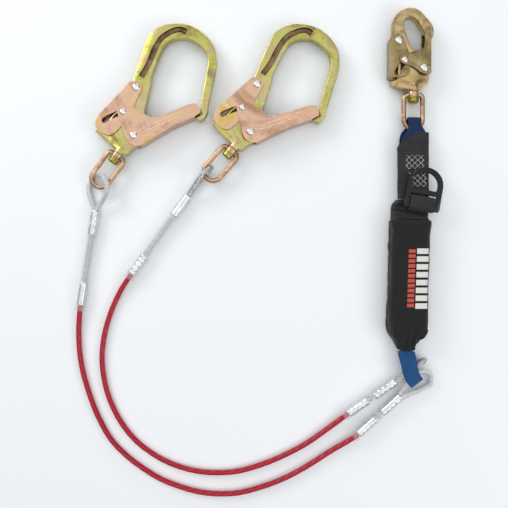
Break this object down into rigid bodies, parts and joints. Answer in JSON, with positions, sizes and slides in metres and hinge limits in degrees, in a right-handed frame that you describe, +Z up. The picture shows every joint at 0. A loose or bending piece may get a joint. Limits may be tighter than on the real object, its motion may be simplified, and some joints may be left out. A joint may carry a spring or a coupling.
{
  "type": "shock absorbing lanyard",
  "caption": "Twin-leg fall-arrest lanyard: soft energy-absorber pack with snap hook and D-ring, coated wire-rope legs and large locking rebar hooks.",
  "frame": {"origin": "centre of the lanyard's outline as laid out, without the two coated cables, on the table plane", "axes": "+Z up from the table; +Y from the cable side towards the hooks; +X from the left hook towards the pack"},
  "size_m": [0.55, 0.7337, 0.032],
  "materials": {
    "zinc_forging": "yellow zinc plated forging",
    "zinc_plate": "yellow zinc plated sheet",
    "zinc_link": "yellow zinc plated, satin",
    "zinc_bolt": "yellow zinc plated",
    "bright_rivet": "bright",
    "spring_steel": "drawn wire",
    "crimson_coating": "glossy clear red coating",
    "silver_rope": "bright wire",
    "ferrule_alloy": "pressed, satin",
    "clear_sleeve": "clear shrink sleeve",
    "black_cloth": "matt weave",
    "tear_webbing": "folded webbing",
    "black_webbing": "ribbed weave",
    "navy_webbing": "ribbed weave",
    "blue_webbing": "ribbed weave",
    "black_steel": "black oxide"
  },
  "bodies": {
    "pack": {"pack_cover": "black_cloth", "pack_flap": "black_cloth", "tear_webbing": "tear_webbing", "upper_webbing": "black_webbing", "top_loop": "navy_webbing", "bottom_loop": "blue_webbing", "d_ring_keeper": "black_webbing"},
    "d_ring": {"d_ring": "black_steel"},
    "snap_eye": {"snap_swivel_eye": "zinc_link"},
    "snap_hook": {"snap_hook_body": "zinc_forging", "snap_gate_rivet": "bright_rivet", "snap_lock_rivet": "bright_rivet", "snap_gate_spring": "spring_steel", "snap_lock_spring": "spring_steel", "snap_swivel_bolt": "zinc_bolt"},
    "snap_gate": {"snap_gate": "zinc_plate", "snap_gate_pin": "bright_rivet"},
    "snap_lock": {"snap_lock_lever": "zinc_plate"},
    "left_leg": {"left_cable": "crimson_coating", "left_upper_eye": "silver_rope", "left_upper_ferrules": "ferrule_alloy", "left_upper_sleeve": "clear_sleeve", "left_lower_eye": "silver_rope", "left_lower_ferrules": "ferrule_alloy", "left_lower_sleeve": "clear_sleeve"},
    "left_eye": {"left_swivel_eye": "zinc_link"},
    "left_hook": {"left_hook_body": "zinc_forging", "left_gate_rivet": "bright_rivet", "left_lock_rivet": "bright_rivet", "left_gate_spring": "spring_steel", "left_lock_spring": "spring_steel", "left_swivel_bolt": "zinc_bolt"},
    "left_gate": {"left_gate": "zinc_plate", "left_gate_pin": "bright_rivet"},
    "left_lock": {"left_lock_lever": "zinc_plate"},
    "right_leg": {"right_cable": "crimson_coating", "right_upper_eye": "silver_rope", "right_upper_ferrules": "ferrule_alloy", "right_upper_sleeve": "clear_sleeve", "right_lower_eye": "silver_rope", "right_lower_ferrules": "ferrule_alloy", "right_lower_sleeve": "clear_sleeve"},
    "right_eye": {"right_swivel_eye": "zinc_link"},
    "right_hook": {"right_hook_body": "zinc_forging", "right_gate_rivet": "bright_rivet", "right_lock_rivet": "bright_rivet", "right_gate_spring": "spring_steel", "right_lock_spring": "spring_steel", "right_swivel_bolt": "zinc_bolt"},
    "right_gate": {"right_gate": "zinc_plate", "right_gate_pin": "bright_rivet"},
    "right_lock": {"right_lock_lever": "zinc_plate"}
  },
  "joints": [
    {"name": "d_ring_hinge", "type": "hinge", "parent": "pack", "child": "d_ring", "pos_m": [0.24256, 0.02596, 0.0256], "axis": [0.9848, -0.1736, 0], "range_deg": [0, 90]},
    {"name": "snap_eye_swing", "type": "hinge", "parent": "pack", "child": "snap_eye", "pos_m": [0.23406, 0.15946, 0.0132], "axis": [0, 0, 1], "range_deg": [-12, 12]},
    {"name": "snap_swivel", "type": "hinge", "parent": "snap_eye", "child": "snap_hook", "pos_m": [0.23406, 0.20946, 0.0132], "axis": [0, 1, 0], "continuous": true},
    {"name": "snap_gate_hinge", "type": "hinge", "parent": "snap_hook", "child": "snap_gate", "pos_m": [0.24806, 0.23386, 0.0132], "axis": [0, 0, 1], "range_deg": [0, 32], "stiffness_Nm_per_rad": 0.06, "springref_deg": -57.3},
    {"name": "snap_lock_hinge", "type": "hinge", "parent": "snap_hook", "child": "snap_lock", "pos_m": [0.21106, 0.27526, 0.0132], "axis": [0, 0, 1], "range_deg": [0, 11.2], "stiffness_Nm_per_rad": 0.03, "springref_deg": -34.38},
    {"name": "left_leg_swing", "type": "hinge", "parent": "pack", "child": "left_leg", "pos_m": [0.22856, -0.22904, 0.0077], "axis": [0, 0, 1], "range_deg": [0, 5]},
    {"name": "left_eye_swing", "type": "hinge", "parent": "left_leg", "child": "left_eye", "pos_m": [-0.23368, 0.07177, 0.0132], "axis": [0, 0, 1], "range_deg": [0, 18]},
    {"name": "left_swivel", "type": "hinge", "parent": "left_eye", "child": "left_hook", "pos_m": [-0.20194, 0.11546, 0.0132], "axis": [0.5878, 0.809, 0], "continuous": true},
    {"name": "left_gate_hinge", "type": "hinge", "parent": "left_hook", "child": "left_gate", "pos_m": [-0.18302, 0.13385, 0.0132], "axis": [0, 0, 1], "range_deg": [0, 40], "stiffness_Nm_per_rad": 0.12, "springref_deg": -57.3},
    {"name": "left_lock_hinge", "type": "hinge", "parent": "left_hook", "child": "left_lock", "pos_m": [-0.1793, 0.20531, 0.0132], "axis": [0, 0, 1], "range_deg": [0, 9], "stiffness_Nm_per_rad": 0.05, "springref_deg": -34.38},
    {"name": "right_leg_swing", "type": "hinge", "parent": "pack", "child": "right_leg", "pos_m": [0.23556, -0.21504, 0.0077], "axis": [0, 0, 1], "range_deg": [-3, 0]},
    {"name": "right_eye_swing", "type": "hinge", "parent": "right_leg", "child": "right_eye", "pos_m": [-0.06537, 0.08171, 0.0132], "axis": [0, 0, 1], "range_deg": [-8, 0]},
    {"name": "right_swivel", "type": "hinge", "parent": "right_eye", "child": "right_hook", "pos_m": [-0.02994, 0.12246, 0.0132], "axis": [0.6561, 0.7547, 0], "continuous": true},
    {"name": "right_gate_hinge", "type": "hinge", "parent": "right_hook", "child": "right_gate", "pos_m": [-0.00949, 0.13913, 0.0132], "axis": [0, 0, 1], "range_deg": [0, 40], "stiffness_Nm_per_rad": 0.12, "springref_deg": -57.3},
    {"name": "right_lock_hinge", "type": "hinge", "parent": "right_hook", "child": "right_lock", "pos_m": [0.00044, 0.21, 0.0132], "axis": [0, 0, 1], "range_deg": [0, 9], "stiffness_Nm_per_rad": 0.05, "springref_deg": -34.38}
  ],
  "couplings": [
    {"joint": "snap_lock_hinge", "follows": "snap_gate_hinge", "ratio": 0.35},
    {"joint": "left_lock_hinge", "follows": "left_gate_hinge", "ratio": 0.225},
    {"joint": "right_lock_hinge", "follows": "right_gate_hinge", "ratio": 0.225}
  ]
}
